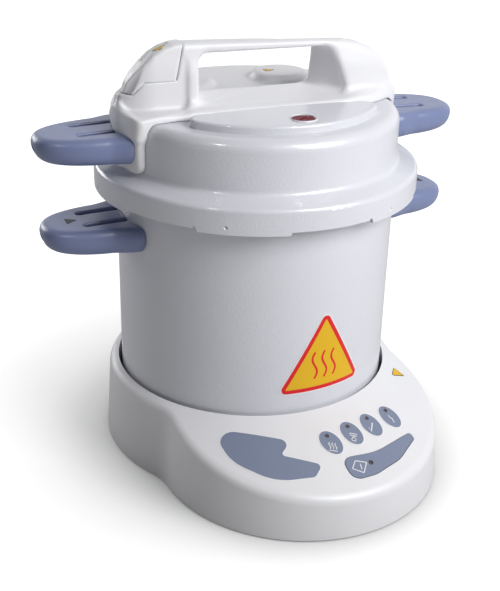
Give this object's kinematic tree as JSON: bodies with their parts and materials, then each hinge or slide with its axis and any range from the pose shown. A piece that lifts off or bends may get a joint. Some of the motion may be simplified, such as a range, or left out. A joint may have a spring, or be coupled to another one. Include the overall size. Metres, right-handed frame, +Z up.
{
  "type": "portable steam steriliser",
  "caption": "Bench-top steam steriliser: pressure pot with a bayonet lid and carry handle, standing on a heated base with a sloping key panel.",
  "frame": {"origin": "on the vessel's vertical axis, at the bench plane that the feet rest on", "axes": "+Z up, the sloping key panel faces -Y, +X to the right when facing the panel"},
  "size_m": [0.3562, 0.3272, 0.3456],
  "materials": {
    "white_plastic": "fine-grained moulded plastic",
    "painted_shell": "textured white powder coat",
    "grip_blue": "satin moulded heat-proof plastic",
    "panel_blue": "satin printed film",
    "red_plastic": "glossy",
    "yellow_label": "printed film",
    "dark_mark": "matt",
    "steel": "brushed",
    "plain_aluminium": "satin",
    "brass": "turned",
    "dark_rubber": "matt",
    "silicone": "satin silicone rubber",
    "black_plastic": "satin",
    "board": "lacquered board",
    "lens": "smoked lens",
    "fibre": "pressed fibre",
    "cable": "satin sheath"
  },
  "bodies": {
    "base": {"base_cover": "white_plastic", "base_plate": "steel", "feet": "dark_rubber", "plate_screws": "steel", "vessel_pillars": "steel", "pillar_screws": "steel", "heater_element": "steel", "heater_clamp": "plain_aluminium", "insulation_pad": "fibre", "thermostat": "black_plastic", "thermal_cutout": "black_plastic", "control_board": "board", "board_posts": "white_plastic", "indicator_lenses": "lens", "start_switch": "black_plastic", "indicator_labels": "panel_blue", "name_panel": "panel_blue", "mains_inlet": "black_plastic", "inlet_screws": "steel", "wiring": "cable", "vessel": "painted_shell", "trivet": "plain_aluminium", "vessel_grip_left": "grip_blue", "vessel_grip_right": "grip_blue", "vessel_brackets": "steel", "vessel_grip_screws": "steel", "arrow_marks": "dark_mark", "heat_label": "yellow_label", "base_label": "yellow_label"},
    "lid_seal": {"lid_gasket": "silicone"},
    "lid": {"lid_shell": "painted_shell", "handle_cover": "white_plastic", "lid_grip_left": "grip_blue", "lid_grip_right": "grip_blue", "lid_brackets": "steel", "lid_grip_screws": "steel", "lever_pin": "steel", "exhaust_seat": "brass", "indicator_grommet": "silicone", "safety_valve": "brass", "cover_screws": "steel", "hump_mark": "yellow_label"},
    "release_lever": {"release_lever": "white_plastic", "lever_mark": "yellow_label"},
    "exhaust_stem": {"exhaust_stem": "brass"},
    "pressure_indicator": {"pressure_indicator": "red_plastic"},
    "start_key": {"start_key": "panel_blue"}
  },
  "joints": [
    {"name": "lid_lift", "type": "slide", "parent": "base", "child": "lid_seal", "axis": [0, 0, 1], "range_m": [0, 0.12]},
    {"name": "lid_turn", "type": "hinge", "parent": "lid_seal", "child": "lid", "pos_m": [0, 0, 0.245], "axis": [0, 0, 1], "range_deg": [0, 30]},
    {"name": "lever_lift", "type": "hinge", "parent": "lid", "child": "release_lever", "pos_m": [-0.0805, -0.00415, 0.3405], "axis": [0.1478, 0.989, 0], "range_deg": [0, 15]},
    {"name": "stem_rise", "type": "slide", "parent": "lid", "child": "exhaust_stem", "axis": [0, 0, 1], "range_m": [0, 0.0048]},
    {"name": "indicator_rise", "type": "slide", "parent": "lid", "child": "pressure_indicator", "axis": [0, 0, 1], "range_m": [0, 0.004]},
    {"name": "key_press", "type": "slide", "parent": "base", "child": "start_key", "axis": [0, 0.4115, -0.9114], "range_m": [0, 0.0008], "stiffness_N_per_m": 400}
  ],
  "couplings": [
    {"joint": "stem_rise", "follows": "lever_lift", "m_per_rad": 0.018}
  ]
}
